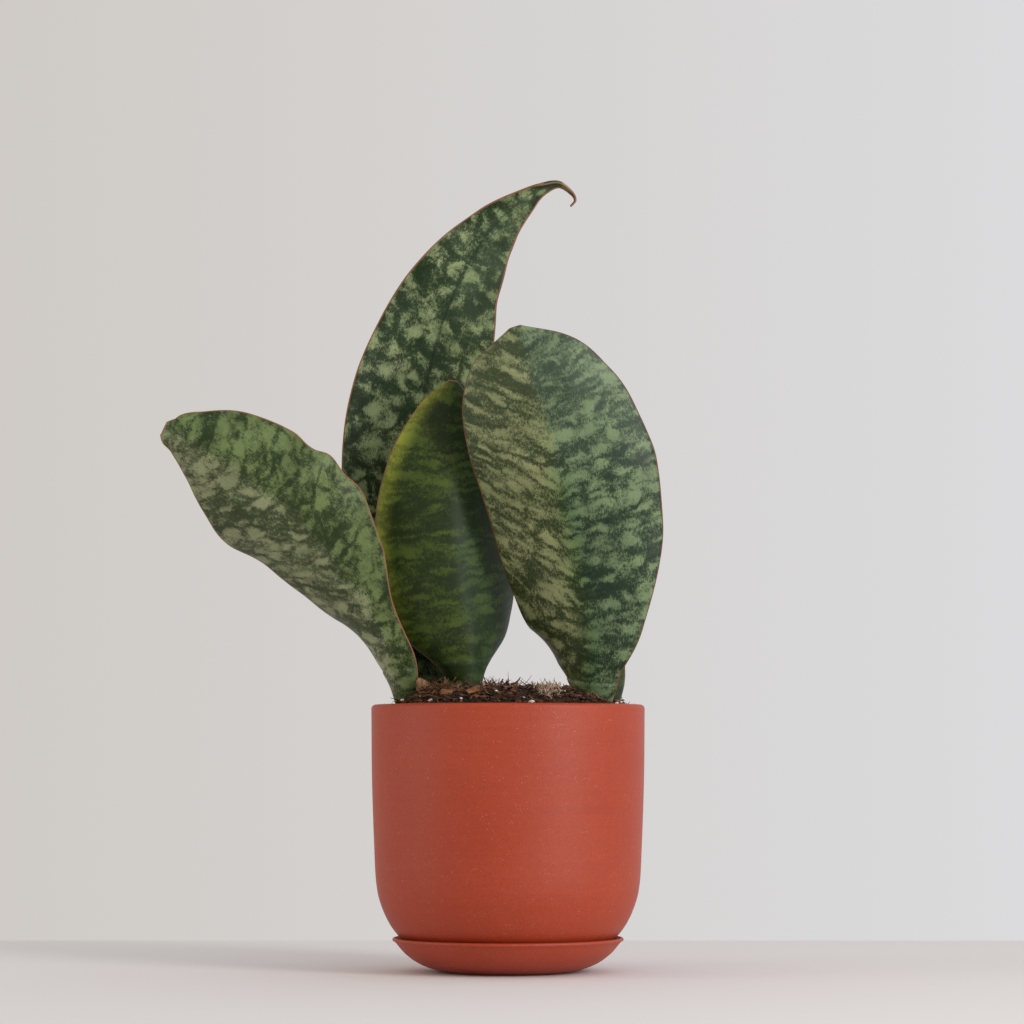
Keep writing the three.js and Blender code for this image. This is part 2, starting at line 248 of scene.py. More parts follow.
@dataclass(frozen=True)
class ClayFinish:
    """Matte fired clay: a warm red body with clouds, turning marks, pale specks and a few dark pits."""

    name: str
    body: Colour = (0.365, 0.040, 0.010)
    dusty: Colour = (0.40, 0.055, 0.019)
    speck: Colour = (0.62, 0.30, 0.22)
    ring_shade: Colour = (0.7, 0.6, 0.55)
    grit_shade: Colour = (0.8, 0.74, 0.72)
    pit_shade: Colour = (0.35, 0.25, 0.25)
    roughness: float = 0.46
    shine: float = 0.42
    relief: float = 0.00028

    def material(self) -> bpy.types.Material:
        """Make the clay's material.

        Returns:
            The material.
        """
        g = Graph(bpy.data.materials.new(self.name))
        place = g.object_place()
        clouds = g.grain(place, 14, 4, 0.6)
        mottle = g.grain(place, 160, 3, 0.6)
        colour = g.blend(clouds.rise(0.3, 0.75) * 0.6 + mottle.rise(0.45, 0.8) * 0.3, self.body, self.dusty)
        rings = g.grain(g.stretch(place, (12, 12, 260)), 1, 2)
        colour = g.shade(rings.rise(0.4, 0.7) * 0.12, colour, self.ring_shade)
        grit = g.grain(place, 900, 3, 0.65)
        colour = g.shade(grit.rise(0.42, 0.68) * 0.6, colour, self.grit_shade)
        few = g.grain(place, 230, 1).rise(0.53, 0.66)
        specks = (1 - g.cells(place, 800).rise(0.08, 0.26)) * few
        colour = g.blend(specks * 0.55, colour, self.speck)
        rare = g.grain(place, 45, 1).rise(0.6, 0.66)
        pits = (1 - g.cells(place, 160).rise(0.03, 0.07)) * rare
        colour = g.shade(pits * 0.8, colour, self.pit_shade)
        height = grit * 0.6 + mottle * 0.4 + rings * 0.2
        return g.finish({
            "Base Color": colour,
            "Roughness": self.roughness + 0.1 * clouds - 0.12 * specks,
            "Specular IOR Level": self.shine,
            "Normal": g.bump(height, self.relief, 0.7),
        })


@dataclass(frozen=True)
class LeafFinish:
    """A thick waxy blade: pale green patches, dark lines between them and a thin red-brown margin.

    Sizes are in metres. The pattern follows the blade's own map, which runs across and along it. A pair
    of values is for the left half and the right half; in the dark and pale pairs the halves also differ as
    painted light and shade, lit on one half and shaded on the other. patch is a patch's width and length,
    cover how much of the blade is pale, chevron how steeply the lines run out from the midrib, and cloud
    how far the patches drift into clouds. crease and channel paint shade into the midrib's line and its
    hollow, the sheen pair is a painted sheen on each half of the upper blade from the sheen's start along
    it, and glow_amount the light through the left margin.
    """

    name: str
    # Dark and pale colours for the left and right halves; the difference between the halves is painted
    # light and shade.
    dark: tuple[Colour, Colour] = ((0.021, 0.034, 0.006), (0.009, 0.025, 0.011))
    pale: tuple[Colour, Colour] = ((0.265, 0.285, 0.13), (0.18, 0.245, 0.12))
    margin: Colour = (0.26, 0.11, 0.06)
    glow: Colour = (0.25, 0.28, 0.035)
    # The colour of the painted sheen laid over the upper blade.
    painted_sheen_colour: Colour = (0.32, 0.42, 0.31)
    scar: Colour = (0.42, 0.30, 0.2)
    fleck_shade: Colour = (0.68, 0.8, 0.74)
    streak_shade: Colour = (0.6, 0.65, 0.55)
    # Colours of the painted shade in the midrib's crease and in its hollow.
    crease_shade: Colour = (0.35, 0.42, 0.3)
    channel_shade: Colour = (0.45, 0.66, 0.5)
    patch: tuple[float, float] = (0.011, 0.0055)
    cover: float = 0.5
    chevron: tuple[float, float] = (-0.7, -0.12)
    cloud: float = 0.35
    contrast: float = 1.0
    glow_amount: float = 0.0
    # How strong the painted shade in the midrib's crease and in its hollow is.
    crease: float = 0.0
    channel: float = 0.0
    # The painted sheen's strength on each half, and where along the blade it starts.
    painted_sheen_amount: tuple[float, float] = (0.0, 0.0)
    painted_sheen_start: float = 0.22
    seed: float = 0.0
    margin_width: float = 0.0007
    roughness: float = 0.42
    shine: float = 0.22
    relief: float = 0.00012

    def level(self, g: Graph, across: Wire, along: Wire, half: Wire) -> Wire:
        """Find how pale the pattern is at a point of the blade, from about 0 to 1.

        Args:
            g: The graph to add to.
            across: The distance across from the midrib.
            along: The distance along the blade.
            half: 0 on the left half and 1 on the right.

        Returns:
            The level, before it is cut into dark and pale.
        """
        flat = g.vector(across, along, self.seed)
        sway = g.grain(flat, 70, 3, 0.6) - 0.5
        sway_along = g.grain(g.stretch(flat, (1, 1, 1), (0.31, 0.73, 0)), 70, 3, 0.6) - 0.5
        left, right = self.chevron
        slope = (left + half * (right - left)) * along.rise(0.05, 0.14)
        slant = along + slope * across.absolute()
        wide, long = self.patch
        bent = g.vector((across + 0.014 * sway) / wide, (slant + 0.011 * sway_along) / long, self.seed * 10)
        gaps = g.cells(bent, 0.62, "DISTANCE_TO_EDGE").rise(0.0, 0.42)
        rows = g.grain(g.stretch(bent, (0.5, 1, 1)), 0.62, 2, 0.5, 0.6) - 0.5
        clouds = g.grain(flat, 42, 2, 0.5) - 0.5
        combed = g.grain(g.stretch(flat, (1, 0.22, 1)), 1600, 2, 0.6) - 0.5
        grit = g.grain(flat, 1300, 2, 0.8) - 0.5
        specks = g.grain(flat, 520, 3, 0.7) - 0.5
        level = gaps * 0.38 + rows * 1.5 * (1 - self.cloud) + clouds * 1.8 * self.cloud + self.cover - 0.23
        return level + 0.6 * combed + 0.65 * grit + 0.8 * specks

    def mark_midrib(self, g: Graph, colour: Wire, across: Wire, along: Wire, shade: Wire,
                    wander: Wire) -> Wire:
        """Paint shade into the midrib's fine crease and its hollow, and paint a pale sheen over the upper
        blade.

        Args:
            g: The graph to add to.
            colour: The colour so far.
            across: The distance across from the midrib.
            along: The distance along the blade.
            shade: Broad noise about 0.5.
            wander: Finer noise about 0.

        Returns:
            The new colour.
        """
        # Painted shade along the midrib's fine crease.
        fold = 1 - (across.absolute() + 0.0006 * (shade - 0.5)).rise(0.0003, 0.0014)
        colour = g.shade(fold * self.crease, colour, self.crease_shade)
        # Painted shade in the midrib's hollow, on the lower blade.
        trough = 1 - (across.absolute() + 0.006 * wander).rise(0.0, 0.013)
        colour = g.shade(trough * (1 - along.rise(0.15, 0.22)) * self.channel, colour, self.channel_shade)
        # A painted sheen over the upper blade, stronger on one half.
        left, right = self.painted_sheen_amount
        side = (across + 0.02 * wander).rise(-0.01, 0.016)
        painted_sheen_mask = along.rise(self.painted_sheen_start, self.painted_sheen_start + 0.1) * (0.6 + 0.8 * shade.rise(0.3, 0.7))
        return g.blend(painted_sheen_mask * (left + side * (right - left)), colour, self.painted_sheen_colour)

    def mark_margin(self, g: Graph, colour: Wire, across: Wire, along: Wire, level: Wire, line: Wire,
                    to_margin: Wire) -> Wire:
        """Let light through the left margin and draw the thin line round the blade.

        Args:
            g: The graph to add to.
            colour: The colour so far.
            across: The distance across from the midrib.
            along: The distance along the blade.
            level: How pale the pattern is.
            line: 1 on the margin's line and 0 off it.
            to_margin: The distance to the margin.

        Returns:
            The new colour.
        """
        left_side = 1 - across.rise(-0.012, 0.004)
        lit = (1 - to_margin.rise(0.0, 0.014)) * left_side * self.glow_amount * along.rise(0.06, 0.13)
        colour = g.blend(lit * (0.45 + 0.55 * level.rise(0.1, 0.6)), colour, self.glow)
        return g.blend(line * 0.9, colour, self.margin)

    def material(self) -> bpy.types.Material:
        """Make the leaf's material.

        Returns:
            The material.
        """
        g = Graph(bpy.data.materials.new(self.name))
        across, along, _ = g.numbers(Wire(g, g.node("ShaderNodeUVMap", {"uv_map": "blade"}).outputs[0]))
        to_margin = g.attribute("to_margin")
        flat = g.vector(across, along, self.seed)
        wander = g.grain(flat, 60, 2, 0.5) - 0.5
        shade = g.grain(flat, 33, 2, 0.5)
        half = (across + 0.012 * wander).rise(-0.003, 0.005)
        level = self.level(g, across, along, half)
        body = level.rise(0.22, 0.64) * 0.64 + level.rise(-0.1, 1.1) * 0.36
        mask = body * self.contrast * (0.8 + 0.4 * shade.rise(0.3, 0.7))
        # The halves take different dark and pale colours: painted light and shade, lit on one half and
        # shaded on the other.
        colour = g.blend(mask.smallest(1.0), g.blend(half, *self.dark), g.blend(half, *self.pale))

        flecks = g.grain(flat, 380, 3, 0.7)
        colour = g.shade(flecks.rise(0.42, 0.66) * 0.5, colour, self.fleck_shade)
        streaks = g.grain(g.stretch(flat, (1, 0.03, 1)), 900, 2, 0.6)
        colour = g.shade(streaks.rise(0.45, 0.75) * 0.3, colour, self.streak_shade)
        colour = self.mark_midrib(g, colour, across, along, shade, wander)
        width = self.margin_width
        line = 1 - (to_margin + 0.0004 * (shade - 0.5)).rise(0.7 * width, 1.3 * width)
        colour = self.mark_margin(g, colour, across, along, level, line, to_margin)
        scars = (1 - g.cells(flat, 60).rise(0.03, 0.07)) * g.grain(flat, 40, 1).rise(0.64, 0.68)
        colour = g.blend(scars * 0.7, colour, self.scar)

        uneven = g.grain(flat, 60, 3, 0.6) - 0.5
        return g.finish({
            "Base Color": colour,
            "Roughness": self.roughness + 0.16 * uneven + 0.12 * line + 0.05 * body,
            "Specular IOR Level": self.shine,
            "Normal": g.bump(streaks * 0.5 + level * 0.5, self.relief, 0.5),
        })


@dataclass(frozen=True)
class EarthFinish:
    """Anything from the potting mix: a dark and a light colour, broken up by grain and fibres."""

    name: str
    dark: Colour
    light: Colour
    scale: float = 400.0
    fibres: Colour = (1, 1, 1)
    roughness: float = 0.9
    relief: float = 0.0004
    shine: float = 0.25

    def material(self) -> bpy.types.Material:
        """Make the material.

        Returns:
            The material.
        """
        g = Graph(bpy.data.materials.new(self.name))
        place = g.object_place()
        coarse = g.grain(place, self.scale * 0.35, 3, 0.6)
        fine = g.grain(g.stretch(place, self.fibres), self.scale, 4, 0.7)
        colour = g.blend((coarse * 0.5 + fine * 0.7).rise(0.42, 0.82), self.dark, self.light)
        return g.finish({
            "Base Color": colour,
            "Roughness": self.roughness - 0.12 * fine,
            "Specular IOR Level": self.shine,
            "Normal": g.bump(fine * 0.7 + coarse * 0.3, self.relief, 0.9),
        })


@dataclass(frozen=True)
class TableFinish:
    """A plain pale painted table top."""

    name: str = "pale_table"
    colour: Colour = (0.765, 0.74, 0.74)
    cloud_shade: Colour = (0.9, 0.9, 0.92)
    roughness: float = 0.85
    shine: float = 0.12

    def material(self) -> bpy.types.Material:
        """Make the table's material.

        Returns:
            The material.
        """
        g = Graph(bpy.data.materials.new(self.name))
        clouds = g.grain(g.object_place(), 5, 3, 0.5)
        return g.finish({
            "Base Color": g.shade(clouds.rise(0.3, 0.8) * 0.08, self.colour, self.cloud_shade),
            "Roughness": self.roughness + 0.05 * clouds,
            "Specular IOR Level": self.shine,
        })


# ------------------------------------------------------------------ mesh helpers


def place_piece(name: str, mesh: bmesh.types.BMesh, material: bpy.types.Material,
                replaces: Sequence[str] = (), smooth: bool = True) -> bpy.types.Object:
    """Turn a bmesh into a piece of the object that rides on its body.

    Args:
        name: The piece's name.
        mesh: Its shape in place. It is freed.
        material: Its finish.
        replaces: The frame's nodes that it stands for.
        smooth: Whether its faces are shaded smooth.

    Returns:
        The new object.
    """
    for face in mesh.faces:
        face.smooth = smooth
    data = bpy.data.meshes.new(name)
    mesh.to_mesh(data)
    mesh.free()
    data.materials.append(material)
    piece = bpy.data.objects.new(name, data)
    bpy.context.scene.collection.objects.link(piece)
    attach(piece, BODY)
    if replaces:
        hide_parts(*replaces)
    log.info("%s: %d faces", name, len(data.polygons))
    return piece


def curve_through(points: Sequence[Sequence[float]], place: float) -> list[float]:
    """Find a point on the smooth curve through some rows of numbers.

    Args:
        points: Rows of numbers, all of one length.
        place: How far along, from 0 to 1.

    Returns:
        The row of numbers at that place.
    """
    last = len(points) - 1
    index = min(int(place * last), last - 1)
    t = place * last - index
    row = []
    for k in range(len(points[0])):
        b, c = points[index][k], points[index + 1][k]
        a = points[index - 1][k] if index > 0 else 2 * b - c
        d = points[index + 2][k] if index + 2 <= last else 2 * c - b
        slope_b, slope_c = (c - a) / 2, (d - b) / 2
        row.append((2 * b - 2 * c + slope_b + slope_c) * t**3
                   + (3 * c - 3 * b - 2 * slope_b - slope_c) * t**2 + slope_b * t + b)
    return row


def smooth_points(points: Sequence[Sequence[float]], steps: int) -> list[list[float]]:
    """Give steps + 1 points along the smooth curve through some points."""
    return [curve_through(points, i / steps) for i in range(steps + 1)]


def spin_profile(profile: Sequence[Sequence[float]], steps: int) -> bmesh.types.BMesh:
    """Spin a profile of (radius, height) points about Z into a closed body.

    Args:
        profile: The points, which start and end on the axis or close on themselves.
        steps: Facets around.

    Returns:
        The closed mesh.
    """
    mesh = bmesh.new()
    ring = [mesh.verts.new((radius, 0, height)) for radius, height in profile]
    for a, b in zip(ring, ring[1:]):
        mesh.edges.new((a, b))
    bmesh.ops.spin(mesh, geom=mesh.verts[:] + mesh.edges[:], cent=(0, 0, 0), axis=(0, 0, 1),
                   angle=math.tau, steps=steps, use_merge=True)
    bmesh.ops.remove_doubles(mesh, verts=mesh.verts, dist=1e-6)
    bmesh.ops.recalc_face_normals(mesh, faces=mesh.faces)
    return mesh


# ------------------------------------------------------------------ pot and saucer


@dataclass
class Pot:
    """The plain clay pot: rounded below, nearly straight above, with a soft rim and a drain hole."""

    finish: ClayFinish
    wall: float = 6.5 * MM
    rim_rounding: float = 2.6 * MM
    floor: float = 7 * MM
    drain_radius: float = 7 * MM
    steps: int = 160
    foot: float = field(init=False)
    top: float = field(init=False)
    radius: float = field(init=False)

    # The outlines are shares of the rim's radius and of the pot's height, and the inside's first number is
    # a share of the inner radius.
    OUTSIDE: ClassVar[tuple] = ((0.485, 0), (0.606, 0.023), (0.739, 0.074), (0.848, 0.138), (0.924, 0.221),
                                (0.961, 0.308), (0.977, 0.457), (0.994, 0.709), (1.0, 0.983))
    INSIDE: ClassVar[tuple] = ((0.99, 0.71), (0.975, 0.46), (0.955, 0.32), (0.9, 0.22), (0.8, 0.14),
                               (0.68, 0.08))
    RIM_STEPS: ClassVar[int] = 8

    def __post_init__(self) -> None:
        """Take the pot's size from the frame."""
        low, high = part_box("pot")
        self.foot, self.top, self.radius = low[2], high[2], high[0]

    def profile(self) -> list[tuple[float, float]]:
        """Trace the section from the drain hole around the outside, over the rim and back.

        Returns:
            Its points, each a radius and a height.
        """
        height = self.top - self.foot
        outside = [(r * self.radius, self.foot + h * height) for r, h in smooth_points(self.OUTSIDE, 60)]
        rounding = self.rim_rounding
        inner = self.radius - self.wall
        rim = []
        for middle, start in ((self.radius - rounding, 0), (inner + rounding, 90)):
            for i in range(self.RIM_STEPS + 1):
                angle = math.radians(start + 90 * i / self.RIM_STEPS)
                up = self.top - rounding + rounding * math.sin(angle)
                rim.append((middle + rounding * math.cos(angle), up))
        floor_top = self.foot + self.floor
        wall = [(inner * r, self.foot + h * height) for r, h in self.INSIDE]
        inside = smooth_points([(inner, self.top - 2 * rounding), *wall, (inner * 0.5, floor_top)], 40)
        hole = self.drain_radius
        return [(hole, floor_top), (hole, self.foot), *outside, *rim, *inside, (hole, floor_top)]

    def build(self) -> bpy.types.Object:
        """Make the pot.

        Returns:
            The new object.
        """
        return place_piece("clay_pot", spin_profile(self.profile(), self.steps), self.finish.material(),
                           ["pot"])


@dataclass
class Saucer:
    """The shallow saucer under the pot, with a bowed underside and a rounded lip."""

    finish: ClayFinish
    lip_width: float = 1.3 * MM
    lip_height: float = 1.2 * MM
    steps: int = 144
    bottom: float = field(init=False)
    top: float = field(init=False)
    radius: float = field(init=False)

    # The outlines are shares of the saucer's radius and height.
    UNDERSIDE: ClassVar[tuple] = ((0.532, 0), (0.645, 0.078), (0.777, 0.255), (0.892, 0.54), (0.975, 0.868))
    INSIDE: ClassVar[tuple] = ((0.952, 0.975), (0.914, 0.84), (0.849, 0.63), (0.763, 0.42), (0.633, 0.245))
    LIP_STEPS: ClassVar[int] = 12

    def __post_init__(self) -> None:
        """Take the saucer's size from the frame."""
        low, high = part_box("saucer")
        self.bottom, self.top, self.radius = low[2], high[2], high[0]

    def outline(self, shares: Sequence[tuple[float, float]], steps: int) -> list[tuple[float, float]]:
        """Turn shares of the saucer's size into a smooth run of points."""
        height = self.top - self.bottom
        return [(r * self.radius, self.bottom + h * height) for r, h in smooth_points(shares, steps)]

    def lip(self) -> list[tuple[float, float]]:
        """Trace the lip, an arc from its outer underside over the top to its inner side.

        Returns:
            Its points, each a radius and a height.
        """
        points = []
        for i in range(self.LIP_STEPS + 1):
            angle = math.radians(-25 + 195 * i / self.LIP_STEPS)
            points.append((0.9815 * self.radius + self.lip_width * math.cos(angle),
                           self.top - self.lip_height + self.lip_height * math.sin(angle)))
        return points

    def build(self) -> bpy.types.Object:
        """Make the saucer.

        Returns:
            The new object.
        """
        inside = self.outline(self.INSIDE, 24)
        profile = [(0, self.bottom), *self.outline(self.UNDERSIDE, 30), *self.lip(), *inside,
                   (0, inside[-1][1])]
        return place_piece("clay_saucer", spin_profile(profile, self.steps), self.finish.material(),
                           ["saucer"])


# ------------------------------------------------------------------ leaves


@dataclass(frozen=True)
class Station:
    """One place along a leaf, in millimetres and degrees.

    x, y and z are the midrib's. left and right are the half-widths, measured along the curved section.
    roll turns the blade about its midrib, and curl is how far each half curls towards the upper face.
    """

    x: float
    y: float
    z: float
    left: float
    right: float
    roll: float
    curl: float

    def row(self) -> tuple[float, ...]:
        """Give the seven numbers in order."""
        return (self.x, self.y, self.z, self.left, self.right, self.roll, self.curl)


class Side(Enum):
    """The half of a blade that a bump is on."""

    LEFT = -1
    RIGHT = 1


@dataclass(frozen=True)
class Bump:
    """A soft wave in a margin.

    place is where its crest is along the leaf and reach how far it spreads to either side, both as shares
    of the leaf. spread is how far the margin bulges sideways there, and lift how far it rises towards the
    upper face, in millimetres.
    """

    side: Side
    place: float
    reach: float
    spread: float
    lift: float = 0.0

    def at(self, place: float) -> float:
        """Give its share from 0 to 1 at a place along the leaf."""
        off = abs(place - self.place) / self.reach
        return 0.5 + 0.5 * math.cos(math.pi * off) if off < 1 else 0.0


@dataclass
class Section:
    """A leaf's cross-section at one place, in millimetres, with its curl in radians."""

    middle: Vector
    across: Vector
    upper: Vector
    radius: float
    left: float
    right: float
    curl: float


@dataclass
class Leaf:
    """One blade with its channelled stalk, bent over its stations and given its thickness.

    Sizes are in millimetres. fold is how sharply the midrib is folded and unevenness how far the surface
    swells and sinks, both beside the smooth curve of the stations.
    """

    node: str
    name: str
    stations: Sequence[Station]
    finish: LeafFinish | EarthFinish
    slot: str = "leaf"
    bumps: Sequence[Bump] = ()
    thickness: float = 2.6
    margin_thickness: float = 0.7
    fold: float = 0.35
    unevenness: float = 0.5
    across_steps: int = 40
    along_steps: int = 180

    # The fold's rounding, and the curl in radians from which a stalk has no fold.
    FOLD_ROUNDING: ClassVar[float] = 0.004
    STALK_CURL: ClassVar[float] = 1.2
    LIFT_POWER: ClassVar[float] = 2.5
    NARROWEST: ClassVar[float] = 0.6
    SWELL_LENGTH: ClassVar[float] = 22
    TIP_FROM: ClassVar[float] = 0.7

    def midrib(self, place: float) -> Vector:
        """Find the midrib at a place from 0 to 1."""
        return Vector(curve_through([s.row()[:3] for s in self.stations], place))

    def section(self, place: float) -> Section:
        """Find the leaf's section.

        Args:
            place: How far along, from 0 to 1.

        Returns:
            The section there.
        """
        step = 1e-4
        along = (self.midrib(min(place + step, 1)) - self.midrib(max(place - step, 0))).normalized()
        back = Vector((0, 1, 0))
        back = (back - back.dot(along) * along).normalized()
        side = back.cross(along)
        left, right, roll, curl = curve_through([s.row()[3:] for s in self.stations], place)
        left, right = max(left, self.NARROWEST), max(right, self.NARROWEST)
        roll, curl = math.radians(roll), math.radians(curl)
        across = side * math.cos(roll) + back * math.sin(roll)
        upper = back * math.cos(roll) - side * math.sin(roll)
        return Section(self.midrib(place), across, upper, (left + right) / 2 / curl, left, right, curl)

    def surface_point(self, section: Section, u: float, place: float) -> Vector:
        """Find a point of the blade's middle surface.

        Args:
            section: The section at that place.
            u: How far across, from -1 at the left margin to 1 at the right.
            place: How far along, from 0 to 1.

        Returns:
            The point in millimetres.
        """
        width = section.left if u < 0 else section.right
        lift = 0.0
        for bump in self.bumps:
            if u * bump.side.value > 0:
                share = bump.at(place)
                width += bump.spread * share
                lift += bump.lift * share * abs(u) ** self.LIFT_POWER
        angle = u * width / section.radius
        outward = section.across * math.sin(angle) - section.upper * math.cos(angle)
        fold = 0.0
        if section.curl < self.STALK_CURL:
            depth = section.radius * (1 - math.cos(section.curl))
            fold = self.fold * depth * (math.sqrt(u * u + self.FOLD_ROUNDING) - u * u)
        point = (section.middle + section.across * section.radius * math.sin(angle)
                 + section.upper * section.radius * (1 - math.cos(angle)))
        swell = self.unevenness * noise.noise(point / self.SWELL_LENGTH) * min(width / 20, 1)
        return point - outward * (fold + lift + swell)

    def build(self) -> bpy.types.Object:
        """Make the leaf as one grid bent over its sections, with a live Solidify for its thickness.

        Returns:
            The new object.
        """
        mesh = bmesh.new()
        bmesh.ops.create_grid(mesh, x_segments=self.across_steps, y_segments=self.along_steps, size=1)
        to_margin = mesh.verts.layers.float.new("to_margin")
        bulk = mesh.verts.layers.deform.new()
        blade = mesh.loops.layers.uv.new("blade")
        lengths = self.lengths()
        sections = [self.section(i / self.along_steps) for i in range(self.along_steps + 1)]
        flat: dict[bmesh.types.BMVert, tuple[float, float]] = {}
        for vertex in mesh.verts:
            u, place = vertex.co.x, (vertex.co.y + 1) / 2
            key = round(place * self.along_steps)
            section = sections[key]
            width = section.left if u < 0 else section.right
            vertex.co = self.surface_point(section, u, place) * MM
            to_tip = (lengths[-1] - lengths[key]) if key > self.along_steps * self.TIP_FROM else 1.0
            vertex[to_margin] = min(width * (1 - abs(u)) * MM, to_tip)
            body = min(self.thickness, 0.5 * width) * math.sqrt(max(1 - u * u, 0))
            vertex[bulk][0] = max(body, min(self.margin_thickness, 0.9 * width)) / self.thickness
            flat[vertex] = (u * width * MM, lengths[key])
        for face in mesh.faces:
            for loop in face.loops:
                loop[blade].uv = flat[loop.vert]
        bmesh.ops.recalc_face_normals(mesh, faces=mesh.faces)
        piece = place_piece(self.name, mesh, self.finish.material(), [self.node])
        self.thicken(piece)
        return piece

    def thicken(self, piece: bpy.types.Object) -> None:
        """Give the blade its thickness, full at the midrib and thin at the margin.

        Args:
            piece: The blade's object, whose first vertex group holds shares of the thickness.
        """
        group = piece.vertex_groups.new(name="bulk")
        shell = piece.modifiers.new("thickness", "SOLIDIFY")
        shell.thickness = self.thickness * MM
        shell.offset = 0
        shell.vertex_group = group.name
        shell.use_even_offset = False
        shell.use_quality_normals = True

    def lengths(self) -> list[float]:
        """Measure along the midrib.

        Returns:
            The length in metres up to each row of the grid.
        """
        total, rows = 0.0, [0.0]
        before = self.midrib(0)
        for i in range(1, self.along_steps + 1):
            here = self.midrib(i / self.along_steps)
            total += (here - before).length * MM
            rows.append(total)
            before = here
        return rows


TALL_STATIONS = (
    Station(-44, 24, 124, 14, 14, 180, 105),
    Station(-44, 30, 167, 16, 16, 180, 105),
    Station(-46, 34, 194, 27, 26, 180, 74),
    Station(-52, 38, 231, 46, 40, 180, 48),
    Station(-55, 42, 281, 55, 49, 180, 36),
    Station(-54, 44, 337, 52, 48, 180, 31),
    Station(-44, 44, 387, 40, 40, 180, 29),
    Station(-28, 42, 428, 26, 28, 181, 32),
    Station(-9, 40, 458, 19, 15, 185, 45),
    Station(10, 38, 475, 12, 8, 198, 75),
    Station(22, 37, 482, 6, 6, 212, 105),
    Station(32, 36, 484, 3.5, 3.5, 225, 115),
    Station(40, 35, 478, 2, 2, 235, 115),
    Station(42, 34, 473, 1.2, 1.2, 240, 115),
    Station(39, 33, 469, 0.8, 0.8, 240, 115),
)
LEFT_STATIONS = (
    Station(-56, -2, 124, 12, 12, -26, 105),
    Station(-63, -9, 162, 18, 10.5, -28, 98),
    Station(-69, -15, 184, 22, 14.5, -28, 62),
    Station(-82, -26, 215, 36.5, 15, -24, 42),
    Station(-108, -38, 250, 40.5, 37, -20, 42),
    Station(-140, -50, 281, 49, 41, -18, 38),
    Station(-169, -58, 303, 31, 33.5, -16, 34),
    Station(-190, -62, 316, 14.5, 18, -14, 30),
    Station(-199, -64, 320, 9.5, 8, -12, 30),
    Station(-202.5, -65, 321.5, 5, 4, -12, 30),
)
MIDDLE_STATIONS = (
    Station(-23, 2, 124, 13, 13, 22, 105),
    Station(-22.5, -2, 166, 13, 16.5, 22, 98),
    Station(-22.5, -3, 180, 20, 16.5, 22, 74),
    Station(-24, -6, 204, 40.5, 42, 20, 58),
    Station(-30, -10, 241, 49.5, 52.5, 19, 54),
    Station(-33, -12, 277, 49, 49, 17, 50),
    Station(-35, -12, 311, 38, 39, 14, 44),
    Station(-35, -10, 338, 21, 24, 12, 38),
    Station(-33, -8, 356, 3, 3, 12, 36),
)
RIGHT_STATIONS = (
    Station(48.5, -12, 124, 14.5, 13.5, -22, 102),
    Station(47.5, -20, 160, 19, 18, -22, 92),
    Station(48, -24, 179, 33, 20, -22, 54),
    Station(48, -30, 204, 46, 33.5, -20, 36),
    Station(42, -36, 240, 51, 51, -16, 34),
    Station(33, -42, 281, 51, 60, -12, 31),
    Station(24, -46, 319, 52, 57, -8, 27),
    Station(15, -47, 350, 47, 45, -6, 24),
    Station(8, -47, 371, 33, 28, -6, 22),
    Station(4, -46, 384, 3.5, 3.5, -6, 22),
)
YOUNG_STATIONS = (
    Station(60, 12, 124, 9, 9, 14, 105),
    Station(61, 8, 152, 10, 10, 12, 100),
    Station(62, 6, 172, 13, 13, 10, 70),
    Station(61, 4, 190, 11, 11, 8, 50),
    Station(59, 3, 204, 6, 6, 8, 40),
    Station(58, 3, 212, 1.5, 1.5, 8, 40),
)
LEFT_SHEATH = (
    Station(-48, -15, 148, 6, 6, 10, 60),
    Station(-46, -16, 160, 8, 7, 10, 60),
    Station(-48, -17, 168, 7, 5, 5, 50),
    Station(-54, -18, 175, 1.5, 1.5, 0, 40),
)
BACK_SHEATH = (
    Station(-29, 19, 148, 4, 4, 120, 60),
    Station(-29, 19, 163, 4, 4, 120, 60),
    Station(-29, 18, 171, 3, 3, 120, 60),
    Station(-29, 16, 178, 1, 1, 120, 60),
)
RIGHT_SHEATH = (
    Station(33, -24, 148, 6, 6, -20, 60),
    Station(33, -26, 158, 7, 7, -20, 60),
    Station(34, -27, 166, 5, 5, -10, 50),
    Station(36, -28, 171, 1.5, 1.5, 0, 40),
)


